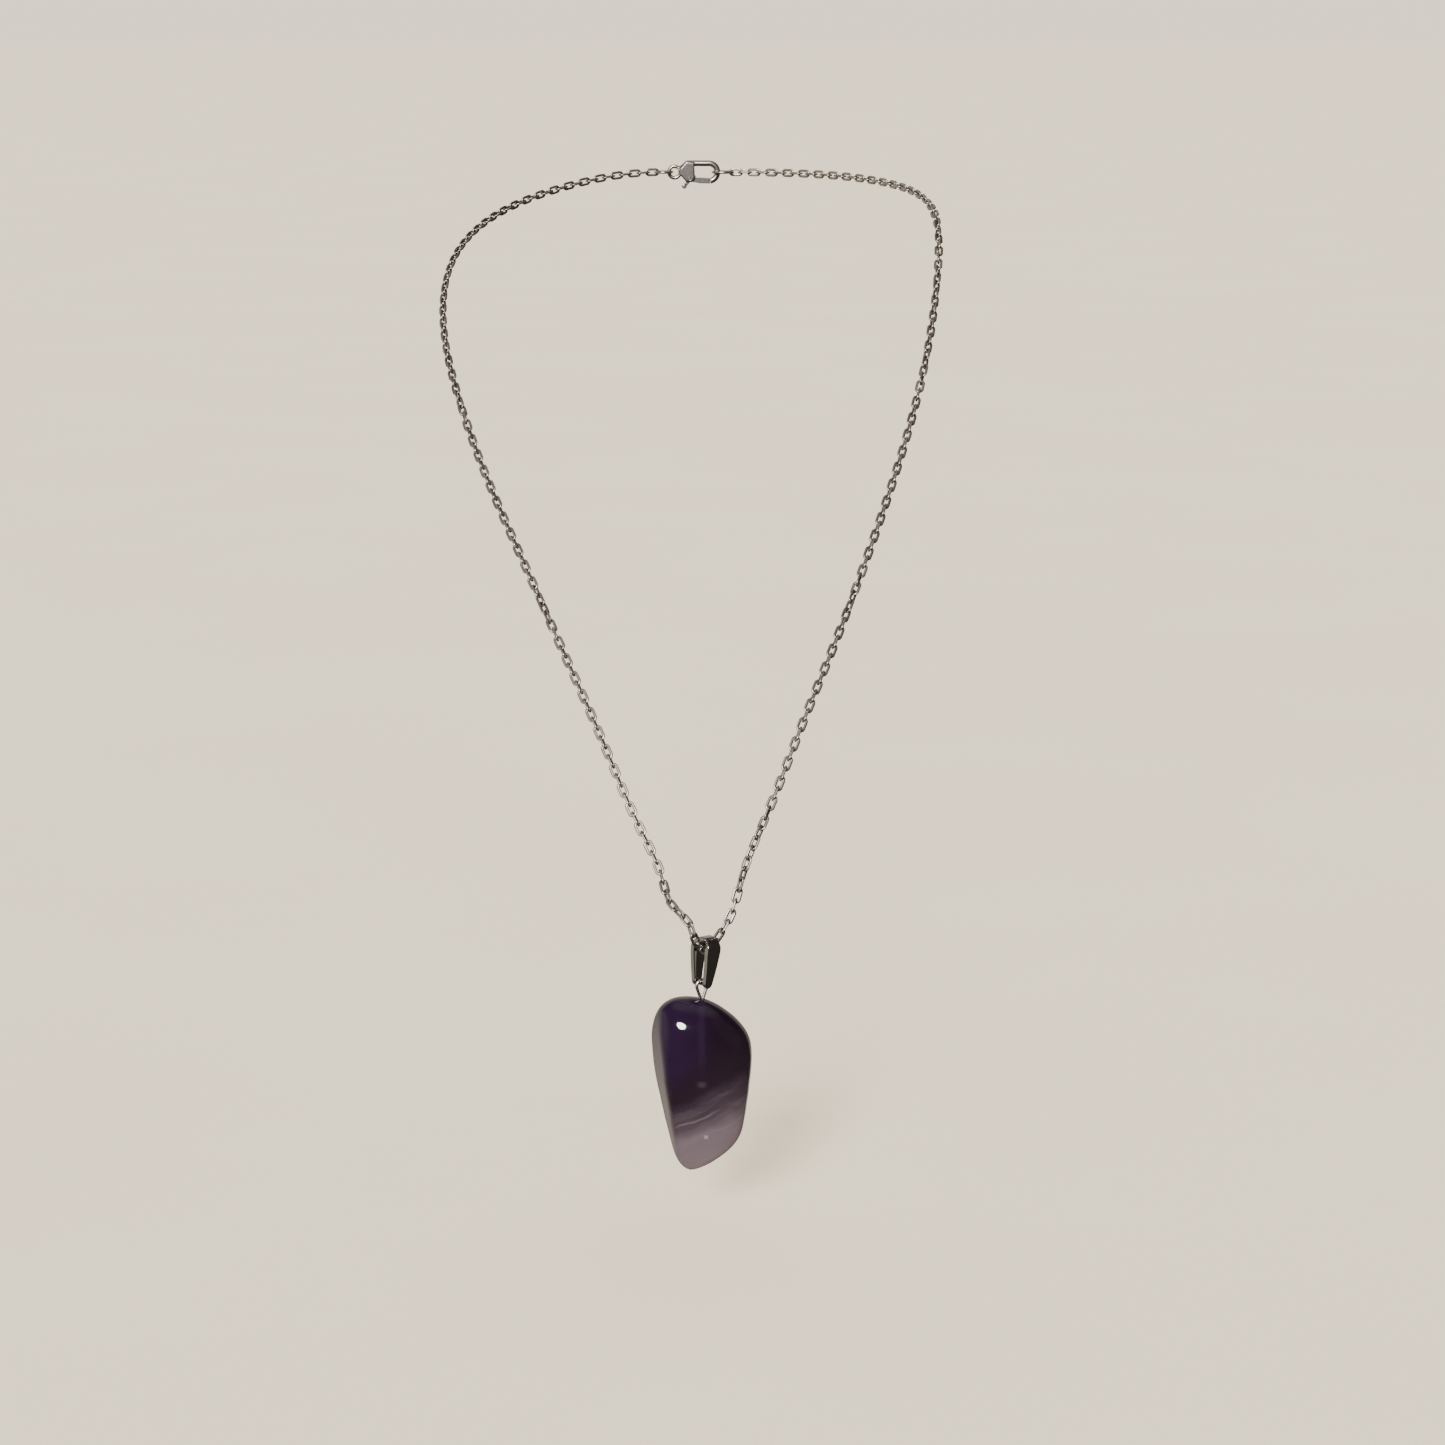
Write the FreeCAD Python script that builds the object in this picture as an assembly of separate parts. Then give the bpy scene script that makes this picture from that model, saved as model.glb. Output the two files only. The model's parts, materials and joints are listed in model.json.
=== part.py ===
"""Pendant necklace: polished stone nugget on a cable chain, in the shape it has when worn.

Frame: origin at the centre of the neck opening, +Z up, +Y towards the nape, +X to the right of
someone who looks at the pendant from the front. Millimetres.
"""
import FreeCAD
import Part
import math
import os

V = FreeCAD.Vector
Rotation = FreeCAD.Rotation
X_AXIS = V(1, 0, 0)
Y_AXIS = V(0, 1, 0)
Z_AXIS = V(0, 0, 1)

# ---------------------------------------------------------------- driving dimensions
LINK_LENGTH = 2.92          # outside length of one oval link
LINK_WIDTH = 1.66           # outside width of one oval link
LINK_WIRE = 0.52            # wire diameter of the chain
LINK_THICKNESS = 0.40       # the links are pressed flat to this thickness
LINK_SLACK = 0.02           # gap between the wires of two links under tension

BAIL_HEIGHT = 8.8           # crown to tip
BAIL_WIDTH = 3.2            # strip width at its widest, beside the fold
BAIL_CROWN_WIDTH = 2.3      # strip width on top of the crown
BAIL_TIP_WIDTH = 1.5        # strip width at the prongs, where the tips are rounded
BAIL_STRIP = 0.9            # strip thickness
BAIL_TUNNEL_RADIUS = 1.15   # inside radius of the fold
BAIL_TIP_GAP = 1.3          # between the two legs at their tips
BAIL_TUNNEL = V(2.95, -102.0, -112.25)   # centre of the fold
BAIL_YAW = 48.0             # the bail faces to the right of straight ahead
BAIL_TILT = 6.0             # its tip hangs to the left
CHAIN_DROP = 0.20           # apex link's centre below the fold's centre
MOUTH_RISE = 36.0           # slope of the links that leave the fold

PRONG_RADIUS = 0.35
PRONG_DROP = 6.15           # prongs below the fold's centre
PRONG_GAP = 0.06            # between the two prong ends

EYE_WIRE = 0.55             # wire diameter of the eye
EYE_INNER_RADIUS = 0.72
EYE_DROP = 2.45             # eye centre to where its two strands meet
EYE_YAW = 30.0              # the eye faces less to the right than the bail
SHANK_RADIUS = 0.40
SHANK_LENGTH = 10.0
RUNNING_GAP = 0.02

STONE_TOP = -121.0
STONE_BOTTOM = -150.85
HOLE_RADIUS = 0.55
HOLE_DEPTH = 13.0

CLASP_CENTRE_Y = 44.5       # the clasp lies across the nape
CLASP_CENTRE_Z = 8.5
RING_WIRE = 0.55            # jump ring
RING_RADIUS = 1.70          # jump ring, to the wire's centre
END_RING_WIRE = 0.55
END_RING_RADIUS = 2.00
TAIL_RADIUS = 1.15          # clasp's tail eye, to the centre of its round section
TAIL_WIRE_RADIUS = 0.38
HOOK_ROD_RADIUS = 0.60
HOOK_CENTRE_X = 6.90        # centre of the hook's bend, from the tail eye's centre
HOOK_RADIUS = 1.75
RIVET_X = 3.00
RIVET_Z = -1.25
RIVET_RADIUS = 0.30
LEVER_RADIUS = 4.28         # rivet to the lever's tip
LEVER_THICKNESS = 0.70
SLOT_HALF = 0.42
CHEEK_THICKNESS = 2.0

# ---------------------------------------------------------------- derived sizes
WIRE_R = LINK_WIRE / 2
END_R = (LINK_WIDTH - LINK_WIRE) / 2                 # centreline radius of a link's round end
HALF_RUN = (LINK_LENGTH - LINK_WIRE) / 2 - END_R     # half of a link's straight side
LINK_PITCH = LINK_LENGTH - 2 * LINK_WIRE - LINK_SLACK
BAIL_TURN = Rotation(Y_AXIS, BAIL_TILT).multiply(Rotation(Z_AXIS, BAIL_YAW))
TUNNEL_AXIS = BAIL_TURN.multVec(X_AXIS)
TUNNEL_SIDE = BAIL_TURN.multVec(Y_AXIS)
TUNNEL_UP = BAIL_TURN.multVec(Z_AXIS)
BAIL_OUTER = BAIL_TUNNEL_RADIUS + BAIL_STRIP
PRONG = BAIL_TUNNEL + BAIL_TURN.multVec(V(0, 0, -PRONG_DROP))
EYE_CENTRE = PRONG + V(0, 0, PRONG_RADIUS + RUNNING_GAP - EYE_INNER_RADIUS)

# ---------------------------------------------------------------- chain routes, bail to nape
LEFT_ROUTE = [
    V(0.6, -104.2, -108.2), V(-2.6, -101.5, -105.1), V(-4.4, -97.9, -101.1),
    V(-7.7, -93.7, -94.6), V(-14.3, -85.0, -81.4), V(-21.2, -74.7, -68.2), V(-28.4, -62.9, -54.9),
    V(-35.8, -49.3, -41.4), V(-42.4, -33.5, -27.2), V(-45.6, -20.5, -17.6), V(-46.2, -7.5, -9.6),
    V(-43.2, 9.5, -2.4), V(-35.5, 25.6, 2.8), V(-24.0, 37.0, 6.4), V(-13.2, 43.0, 8.2),
]
RIGHT_ROUTE = [
    V(7.2, -98.7, -107.3), V(8.2, -97.6, -104.3), V(9.7, -96.9, -99.2),
    V(12.8, -93.7, -92.3), V(18.8, -85.5, -78.8), V(25.1, -75.3, -65.4), V(31.2, -63.7, -51.7),
    V(37.0, -50.8, -37.5), V(42.0, -36.6, -22.6), V(44.9, -22.6, -9.4), V(45.9, -9.1, 0.6),
    V(43.7, 7.0, 5.6), V(36.8, 22.6, 7.6), V(25.6, 35.6, 8.4), V(13.6, 43.1, 8.5),
]
# turn of the links about the chain, as (millimetres from the bail, degrees)
LEFT_TWIST = [
    (0, 32), (9, 53), (17, 0), (60, 0), (75, 90), (110, 90), (120, 180), (132, 180), (150, 225),
    (175, 270), (230, 270),
]
RIGHT_TWIST = [
    (0, 32), (8, -11), (13, 45), (22, 45), (27, 90), (61, 90), (75, 180), (110, 180), (117, 135),
    (125, 90), (136, 90), (150, 135), (170, 180), (230, 180),
]
# the last link of each stretch, counted from the bail
LEFT_STRETCHES = [("lower_chest", 28), ("middle_chest", 55), ("upper_chest", 70), ("shoulder", 95)]
RIGHT_STRETCHES = [("lower_chest", 27), ("middle_chest", 54), ("upper_chest", 71), ("shoulder", 95)]

# ---------------------------------------------------------------- stone outline
# level, left edge, right edge, front edge, back edge
STONE_SECTIONS = [
    (-121.45, -3.2, 2.9, -103.7, -100.4),
    (-122.6, -4.6, 5.4, -105.0, -99.3),
    (-124.8, -5.6, 8.1, -106.3, -98.0),
    (-128.0, -6.0, 10.1, -107.1, -97.0),
    (-132.0, -5.65, 10.5, -107.3, -96.8),
    (-137.0, -4.7, 9.95, -107.0, -97.2),
    (-141.5, -3.8, 9.4, -106.3, -98.0),
    (-145.0, -3.05, 8.4, -105.5, -98.9),
    (-147.8, -2.3, 5.9, -104.6, -100.0),
    (-150.0, -1.0, 2.7, -103.4, -101.2),
]
STONE_SQUARENESS = 2.5      # 2 is an ellipse, higher is boxier


# ---------------------------------------------------------------- helpers
def placed(origin, x_dir, z_dir):
    """Placement whose local X is x_dir and whose local Z is close to z_dir."""
    x = V(x_dir).normalize()
    y = V(z_dir).cross(x).normalize()
    z = x.cross(y)
    matrix = FreeCAD.Matrix(
        x.x, y.x, z.x, origin.x,
        x.y, y.y, z.y, origin.y,
        x.z, y.z, z.z, origin.z,
        0, 0, 0, 1,
    )
    return FreeCAD.Placement(matrix)


def moved(shape, placement):
    """A copy of shape, carried from the origin to placement."""
    copy = shape.copy()
    copy.Placement = placement.multiply(copy.Placement)
    return copy


def ring(centre, normal, radius, wire_radius):
    return Part.makeTorus(radius, wire_radius, centre, normal)


def rod(start, end, radius):
    return Part.makeCylinder(radius, (end - start).Length, start, end - start)


def plate(points, thickness):
    """A flat plate in the XZ plane, centred on Y = 0."""
    wire = Part.makePolygon([V(x, -thickness / 2, z) for x, z in points + points[:1]])
    return Part.Face(wire).extrude(V(0, thickness, 0))


def interpolate(table, at):
    """Straight-line reading of a table of (position, value) rows."""
    for (a, low), (b, high) in zip(table, table[1:]):
        if at <= b:
            return low + (high - low) * (at - a) / (b - a)
    return table[-1][1]


def one_solid(shape):
    """The only solid in the result of a boolean operation."""
    solid, = shape.removeSplitter().Solids
    return solid


def save(name, shape):
    shape.exportStep("parts/%s.step" % name)
    print("%-28s solids %3d  volume %9.3f  valid %s" % (name, len(shape.Solids), shape.Volume, shape.isValid()))


# ---------------------------------------------------------------- chain
def make_link():
    """One oval link in the XY plane, long along X: round wire, pressed flat on both faces."""
    solids = []
    for side in (-1, 1):
        end = Part.makeTorus(END_R, WIRE_R, V(0, 0, 0), Z_AXIS, 0, 360, 180)
        end.rotate(V(0, 0, 0), Z_AXIS, -90 if side > 0 else 90)
        end.translate(V(side * HALF_RUN, 0, 0))
        solids.append(end)
        solids.append(rod(V(-HALF_RUN, side * END_R, 0), V(HALF_RUN, side * END_R, 0), WIRE_R))
    press = Part.makeBox(4, 3, LINK_THICKNESS, V(-2, -1.5, -LINK_THICKNESS / 2))
    return one_solid(solids[0].fuse(solids[1:]).common(press))


def outward(point):
    """Direction away from the wearer, for a chain that lies on the chest and round the neck."""
    if point.y < -30:
        return V(point.x * 0.25, -60, 0).normalize()
    blend = min(1.0, (point.y + 30) / 30.0)
    return V(point.x * (0.25 + 0.75 * blend), point.y - 30 * (1 - blend) - 0.01, 0).normalize()


class Route:
    """A smooth line through points, read by length."""

    def __init__(self, points):
        self.curve = Part.BSplineCurve()
        self.curve.interpolate(points)
        self.length = self.curve.length()
        self.end = self.curve.tangent(self.curve.LastParameter)[0]

    def point(self, at):
        """Point at a length along the line, which runs straight on past its end."""
        past_end = max(0.0, at - self.length)
        parameter = self.curve.parameterAtDistance(at - past_end, self.curve.FirstParameter)
        return self.curve.value(parameter) + self.end * past_end

    def joints(self):
        """Link joints at equal straight distances, with as many links as the nominal pitch allows."""
        count = int(self.length / LINK_PITCH)
        pitch = self.length / count
        for _ in range(6):
            points, at = [self.point(0)], 0.0
            for _ in range(count):
                step = pitch
                for _ in range(3):
                    step *= pitch / (self.point(at + step) - points[-1]).Length
                at += step
                points.append(self.point(at))
            pitch += (self.length - at) / count
        points[-1] = self.point(self.length)
        return points, pitch


def mouth_joint(side):
    """Outer joint of the link that leaves the bail's fold on one side."""
    apex_end = BAIL_TUNNEL - TUNNEL_UP * CHAIN_DROP + TUNNEL_AXIS * (side * HALF_RUN)
    return apex_end + mouth_direction(side, MOUTH_RISE) * (HALF_RUN + END_R + LINK_PITCH / 2)


def mouth_direction(side, slope):
    """Direction out of the bail's fold, rising at slope degrees."""
    angle = math.radians(slope)
    return TUNNEL_AXIS * (side * math.cos(angle)) + TUNNEL_UP * math.sin(angle)


def half_chain(link, side, route, twist):
    """Links from the bail's mouth to the nape, with the joints between them."""
    clasp_end = V(side * CHAIN_END_X, CLASP_CENTRE_Y, CLASP_CENTRE_Z)
    mouth = mouth_joint(side)
    lead = mouth + mouth_direction(side, MOUTH_RISE + 10)
    joints, pitch = Route([mouth, lead] + route + [clasp_end]).joints()
    links = [mouth_link(link, side, joints[0])]
    for number, (start, end) in enumerate(zip(joints, joints[1:]), start=2):
        tangent = (end - start).normalize()
        face = outward((start + end) / 2)
        face = face - tangent * face.dot(tangent)
        turn = interpolate(twist, (number - 1) * pitch) + (90 if number % 2 else 0)
        normal = Rotation(tangent, turn).multVec(face)
        links.append(moved(link, placed((start + end) / 2, tangent, normal)))
    print("links %d pitch %.4f" % (len(links), pitch))
    return links, joints


def mouth_link(link, side, joint):
    """The flat link in the bail's mouth, which carries the bail's crown."""
    direction = mouth_direction(side, MOUTH_RISE)
    centre = joint - direction * (LINK_PITCH / 2)
    return moved(link, placed(centre, direction, direction.cross(TUNNEL_SIDE)))


def make_chain():
    link = make_link()
    apex = moved(link, placed(BAIL_TUNNEL - TUNNEL_UP * CHAIN_DROP, TUNNEL_AXIS, TUNNEL_SIDE))
    save("apex_link", apex)
    plans = (
        ("left", -1, LEFT_ROUTE, LEFT_TWIST, LEFT_STRETCHES),
        ("right", 1, RIGHT_ROUTE, RIGHT_TWIST, RIGHT_STRETCHES),
    )
    for name, side, route, twist, stretches in plans:
        links, joints = half_chain(link, side, route, twist)
        first = 0
        for stretch, last in stretches + [("nape", len(links))]:
            save("%s_%s_chain" % (name, stretch), Part.makeCompound(links[first:last]))
            if last < len(links):
                tangent = (joints[last] - joints[last - 1]).normalize()
                pivot = joints[last - 1] + tangent * (LINK_PITCH / 2 - HALF_RUN)
                print("   pivot above link %d at %.3f %.3f %.3f" % (last, pivot.x, pivot.y, pivot.z))
            first = last


# ---------------------------------------------------------------- pendant
def bail_front():
    """The strip's outline seen from the front: crown, widest beside the fold, rounded tip."""
    tip = BAIL_HEIGHT - BAIL_OUTER
    half, half_tip, half_crown = BAIL_WIDTH / 2, BAIL_TIP_WIDTH / 2, BAIL_CROWN_WIDTH / 2
    right = [(half_tip, half_tip - tip), (half, -0.3), (half, 0.4), (half_crown, BAIL_OUTER)]
    corners = [V(x, 0, z) for x, z in right + [(-x, z) for x, z in right[::-1]]]
    round_tip = Part.Arc(corners[-1], V(0, 0, -tip), corners[0]).toShape()
    return Part.Face(Part.Wire(Part.makePolygon(corners).Edges + [round_tip]))


def make_bail():
    """Folded strip: round crown, two legs that close towards the tips, a prong on each leg."""
    tip = BAIL_HEIGHT - BAIL_OUTER
    outer, inner = BAIL_OUTER, BAIL_TUNNEL_RADIUS
    inner_tip = BAIL_TIP_GAP / 2
    outer_tip = inner_tip + BAIL_STRIP
    edges = [
        Part.Arc(V(0, -outer, 0), V(0, 0, outer), V(0, outer, 0)).toShape(),
        Part.makeLine(V(0, outer, 0), V(0, outer_tip, -tip)),
        Part.makeLine(V(0, outer_tip, -tip), V(0, inner_tip, -tip)),
        Part.makeLine(V(0, inner_tip, -tip), V(0, inner, 0)),
        Part.Arc(V(0, inner, 0), V(0, 0, inner), V(0, -inner, 0)).toShape(),
        Part.makeLine(V(0, -inner, 0), V(0, -inner_tip, -tip)),
        Part.makeLine(V(0, -inner_tip, -tip), V(0, -outer_tip, -tip)),
        Part.makeLine(V(0, -outer_tip, -tip), V(0, -outer, 0)),
    ]
    strip = Part.Face(Part.Wire(edges)).extrude(V(2 * BAIL_WIDTH, 0, 0))
    strip.translate(V(-BAIL_WIDTH, 0, 0))
    front = bail_front().extrude(V(0, 4 * outer, 0))
    front.translate(V(0, -2 * outer, 0))
    strip = one_solid(strip.common(front))
    strip = strip.makeFillet(0.14, strip.Edges)
    for side in (-1, 1):
        root = V(0, side * (inner_tip + BAIL_STRIP / 2), -PRONG_DROP)
        strip = strip.fuse(rod(root, V(0, side * PRONG_GAP / 2, -PRONG_DROP), PRONG_RADIUS))
    return moved(one_solid(strip), FreeCAD.Placement(BAIL_TUNNEL, BAIL_TURN))


def make_eye_peg():
    """Wire eye round the prongs, drawn together into a straight shank."""
    radius = EYE_INNER_RADIUS + EYE_WIRE / 2
    wire = EYE_WIRE / 2
    lean = math.asin(radius / EYE_DROP)
    foot = V(0, 0, -EYE_DROP)
    touch = V(radius * math.cos(lean), 0, -radius * math.sin(lean))
    arc_angle = 180 + 2 * math.degrees(lean)
    loop = Part.makeTorus(radius, wire, V(0, 0, 0), Z_AXIS, 0, 360, arc_angle)
    loop.rotate(V(0, 0, 0), Z_AXIS, -math.degrees(lean))
    loop.rotate(V(0, 0, 0), X_AXIS, 90)
    pieces = [rod(touch, foot, wire), rod(V(-touch.x, 0, touch.z), foot, wire)]
    pieces.append(Part.makeSphere(SHANK_RADIUS, foot))
    pieces.append(rod(foot, foot - Z_AXIS * SHANK_LENGTH, SHANK_RADIUS))
    peg = one_solid(loop.fuse(pieces))
    return moved(peg, FreeCAD.Placement(EYE_CENTRE, Rotation(Z_AXIS, EYE_YAW)))


def stone_section(level, left, right, front, back):
    """A closed smooth outline, between an ellipse and a box, as a back half and a front half."""
    centre_x, centre_y = (left + right) / 2, (front + back) / 2
    half_x, half_y = (right - left) / 2, (back - front) / 2
    points = []
    for step in range(16):
        angle = 2 * math.pi * step / 16
        c, s = math.cos(angle), math.sin(angle)
        power = 2 / STONE_SQUARENESS
        x = centre_x + half_x * math.copysign(abs(c) ** power, c)
        y = centre_y + half_y * math.copysign(abs(s) ** power, s)
        points.append(V(x, y, level))
    outline = Part.BSplineCurve()
    outline.interpolate(points, PeriodicFlag=True)
    middle = outline.parameter(points[8])
    back_half, front_half = outline.copy(), outline.copy()
    back_half.segment(outline.FirstParameter, middle)
    front_half.segment(middle, outline.LastParameter)
    return Part.Wire([back_half.toShape(), front_half.toShape()])


def make_stone():
    top = Part.Vertex(V(-1.2, -102, STONE_TOP))
    bottom = Part.Vertex(V(0.3, -102.2, STONE_BOTTOM))
    sections = [stone_section(*row) for row in STONE_SECTIONS]
    stone = Part.makeLoft([bottom] + sections[::-1] + [top], True)
    return one_solid(stone.cut(peg_hole()))


def peg_hole():
    return Part.makeCylinder(HOLE_RADIUS, HOLE_DEPTH + 1, V(PRONG.x, PRONG.y, STONE_TOP - HOLE_DEPTH), Z_AXIS)


def make_adhesive(peg):
    """Glue between the shank and the drilled hole, and under the shank's end."""
    height = HOLE_DEPTH - 0.7
    fill = Part.makeCylinder(HOLE_RADIUS, height, V(PRONG.x, PRONG.y, STONE_TOP - HOLE_DEPTH), Z_AXIS)
    return one_solid(fill.cut(peg))


# ---------------------------------------------------------------- clasp, in its own frame
# local X runs from the tail eye's centre to the hook, local Z towards the closed back
def make_hook():
    """Round bar from the cheeks, over the back and round the bend, cut off at the lever's sweep."""
    bend = Part.makeTorus(HOOK_RADIUS, HOOK_ROD_RADIUS, V(0, 0, 0), Z_AXIS, 0, 360, 180)
    bend.rotate(V(0, 0, 0), Z_AXIS, -90)
    bend.rotate(V(0, 0, 0), X_AXIS, 90)
    bend.translate(V(HOOK_CENTRE_X, 0, 0))
    back = rod(V(2.6, 0, HOOK_RADIUS), V(HOOK_CENTRE_X, 0, HOOK_RADIUS), HOOK_ROD_RADIUS)
    neck = rod(V(0.9, 0, 0.25), V(2.6, 0, HOOK_RADIUS), HOOK_ROD_RADIUS)
    elbow = Part.makeSphere(HOOK_ROD_RADIUS, V(2.6, 0, HOOK_RADIUS))
    sweep = Part.makeCylinder(LEVER_RADIUS + 0.07, 4, V(RIVET_X, -2, RIVET_Z), Y_AXIS)
    lower = Part.makeBox(6, 4, 3, V(2, -2, -3.4))
    return bend.cut(sweep.common(lower)).fuse([back, neck, elbow])


def make_clasp_body():
    tail = ring(V(0, 0, 0), Y_AXIS, TAIL_RADIUS, TAIL_WIRE_RADIUS)
    cheeks = plate([(1.1, -0.5), (2.3, -1.9), (3.6, -2.0), (4.1, -1.1), (4.0, 1.9), (2.4, 2.2), (1.1, 0.7)],
                   CHEEK_THICKNESS)
    cheeks = cheeks.makeFillet(0.3, cheeks.Edges)
    body = tail.fuse([make_hook(), cheeks])
    slot = Part.makeBox(3.4, 2 * SLOT_HALF, 3.0, V(1.75, -SLOT_HALF, -2.7))
    return one_solid(body.cut([slot, rivet_bar(RIVET_RADIUS, 4)]))


def rivet_bar(radius, length):
    return Part.makeCylinder(radius, length, V(RIVET_X, -length / 2, RIVET_Z), Y_AXIS)


def make_lever():
    """Gate from the rivet to the hook's end, with a thumb tab beyond the rivet."""
    arm = plate([(3.0, -0.7), (4.4, -1.0), (7.6, -1.15), (7.6, -2.3), (5.2, -2.25), (3.0, -1.85)], LEVER_THICKNESS)
    sweep = Part.makeCylinder(LEVER_RADIUS, 4, V(RIVET_X, -2, RIVET_Z), Y_AXIS)
    arm = arm.common(sweep)
    hub = Part.makeCylinder(0.6, LEVER_THICKNESS, V(RIVET_X, -LEVER_THICKNESS / 2, RIVET_Z), Y_AXIS)
    stem = plate([(2.55, -1.6), (3.3, -1.8), (2.35, -2.95), (1.75, -2.55)], LEVER_THICKNESS)
    tab = Part.makeCylinder(0.5, 1.5, V(1.95, -0.75, -2.8), Y_AXIS)
    tab = tab.makeFillet(0.2, tab.Edges)
    lever = arm.fuse([hub, stem, tab])
    return one_solid(lever.cut(rivet_bar(RIVET_RADIUS + 0.04, 4)))


def make_spring():
    """Hairpin of wire between the slot's ceiling and the lever's arm."""
    radius = 0.13
    ceiling, bend = 0.3 - radius - 0.01, V(2.0, 0, 0.02)
    upper_end, lower_end = V(4.0, 0, ceiling), V(4.2, 0, -0.80)
    upper_start, lower_start = V(2.0, 0, ceiling), V(2.0, 0, -0.12)
    wire = rod(upper_start, upper_end, radius)
    parts = [rod(lower_start, lower_end, radius), rod(lower_start, upper_start, radius)]
    parts += [Part.makeSphere(radius, point) for point in (upper_start, lower_start, upper_end, lower_end)]
    return one_solid(wire.fuse(parts))


def make_rivet():
    rivet = rivet_bar(RIVET_RADIUS, CHEEK_THICKNESS + 0.1)
    return rivet.makeFillet(0.05, rivet.Edges)


# the closed clasp group, laid along X: chain link, jump ring, clasp, end ring, chain link
RING_TO_TAIL = TAIL_RADIUS - TAIL_WIRE_RADIUS - RING_WIRE / 2 - RUNNING_GAP
HOOK_INNER_X = HOOK_CENTRE_X + HOOK_RADIUS - HOOK_ROD_RADIUS
END_WIRE_X = HOOK_INNER_X - END_RING_WIRE / 2 - 0.03
LINK_TO_RING = WIRE_R + RING_WIRE / 2 + RUNNING_GAP
LINK_TO_END_RING = WIRE_R + END_RING_WIRE / 2 + RUNNING_GAP
WIRE_PAST_JOINT = (LINK_WIRE + LINK_SLACK) / 2
GROUP_LENGTH = (
    2 * WIRE_PAST_JOINT - LINK_TO_RING + 2 * RING_RADIUS + RING_TO_TAIL
    + END_WIRE_X + 2 * END_RING_RADIUS - LINK_TO_END_RING
)
CHAIN_END_X = GROUP_LENGTH / 2
RING_X = -CHAIN_END_X + WIRE_PAST_JOINT - LINK_TO_RING + RING_RADIUS
TAIL_X = RING_X + RING_RADIUS + RING_TO_TAIL
END_RING_X = TAIL_X + END_WIRE_X + END_RING_RADIUS


def make_clasp_group():
    line = V(0, CLASP_CENTRE_Y, CLASP_CENTRE_Z)
    save("clasp_jump_ring", ring(line + V(RING_X, 0, 0), Z_AXIS, RING_RADIUS, RING_WIRE / 2))
    save("end_ring", ring(line + V(END_RING_X, 0, 0), Z_AXIS, END_RING_RADIUS, END_RING_WIRE / 2))
    home = FreeCAD.Placement(line + V(TAIL_X, 0, 0), Rotation())
    clasp = (
        ("clasp_body", make_clasp_body()), ("clasp_lever", make_lever()),
        ("clasp_spring", make_spring()), ("clasp_rivet", make_rivet()),
    )
    for name, shape in clasp:
        save(name, moved(shape, home))
    print("   clasp tail x %.3f ring x %.3f end ring x %.3f" % (TAIL_X, RING_X, END_RING_X))


def make_pendant():
    peg = make_eye_peg()
    stone = make_stone()
    save("bail", make_bail())
    save("eye_peg", peg)
    save("peg_adhesive", make_adhesive(peg))
    save("stone", stone)
    centre = stone.CenterOfMass
    print("   prong %.3f %.3f %.3f" % (PRONG.x, PRONG.y, PRONG.z))
    print("   stone centre of mass %.3f %.3f %.3f" % (centre.x, centre.y, centre.z))


os.makedirs("parts", exist_ok=True)
make_chain()
make_pendant()
make_clasp_group()
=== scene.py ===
"""Looks of the pendant necklace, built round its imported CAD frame.

Metres in Blender, with the necklace's own sizes given in millimetres and scaled by MM.
+Z is up, +Y is towards the nape and +X is to the right of someone facing the pendant.
"""
import json
import math

import bmesh
import bpy
import numpy as np
from mathutils import Euler, Matrix, Vector, noise
from mathutils.bvhtree import BVHTree


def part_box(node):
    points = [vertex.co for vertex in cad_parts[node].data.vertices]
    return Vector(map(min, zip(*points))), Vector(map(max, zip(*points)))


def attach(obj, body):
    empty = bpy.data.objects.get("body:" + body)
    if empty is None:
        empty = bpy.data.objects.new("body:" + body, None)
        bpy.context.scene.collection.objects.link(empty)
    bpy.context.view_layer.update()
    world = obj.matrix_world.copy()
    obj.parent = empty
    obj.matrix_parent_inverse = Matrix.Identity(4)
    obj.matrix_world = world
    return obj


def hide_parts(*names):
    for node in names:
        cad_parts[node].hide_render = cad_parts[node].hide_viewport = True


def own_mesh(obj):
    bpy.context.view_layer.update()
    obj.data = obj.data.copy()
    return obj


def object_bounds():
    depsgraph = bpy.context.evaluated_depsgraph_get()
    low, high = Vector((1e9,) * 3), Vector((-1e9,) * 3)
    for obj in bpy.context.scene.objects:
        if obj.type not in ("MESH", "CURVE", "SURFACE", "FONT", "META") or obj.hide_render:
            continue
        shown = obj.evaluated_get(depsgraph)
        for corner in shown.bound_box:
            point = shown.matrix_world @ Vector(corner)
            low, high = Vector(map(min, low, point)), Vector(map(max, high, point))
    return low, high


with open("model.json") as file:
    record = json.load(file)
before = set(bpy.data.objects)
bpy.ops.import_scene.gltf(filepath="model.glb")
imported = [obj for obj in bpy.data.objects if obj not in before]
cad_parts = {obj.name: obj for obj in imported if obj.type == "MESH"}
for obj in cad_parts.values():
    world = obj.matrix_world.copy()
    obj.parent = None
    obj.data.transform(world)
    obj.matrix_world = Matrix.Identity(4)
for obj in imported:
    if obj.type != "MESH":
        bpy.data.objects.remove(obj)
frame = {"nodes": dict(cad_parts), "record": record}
CAD_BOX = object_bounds()
MM = 0.001

# ---------------------------------------------------------------- millimetres and degrees
LINK_LENGTH = 2.92
LINK_WIDTH = 1.66
LINK_WIRE = 0.52
LINK_THICKNESS = 0.40       # the wire is pressed flat
LINK_SQUARENESS = 0.62      # of the pressed wire's section: 1 is an ellipse, lower is boxier
LINK_EASE = 0.008           # the wire's radius is this much less, so touching links don't cross
LINK_STEPS = 56             # rings of vertices round one link
LINK_SIDES = 16             # vertices round the link's wire

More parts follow.
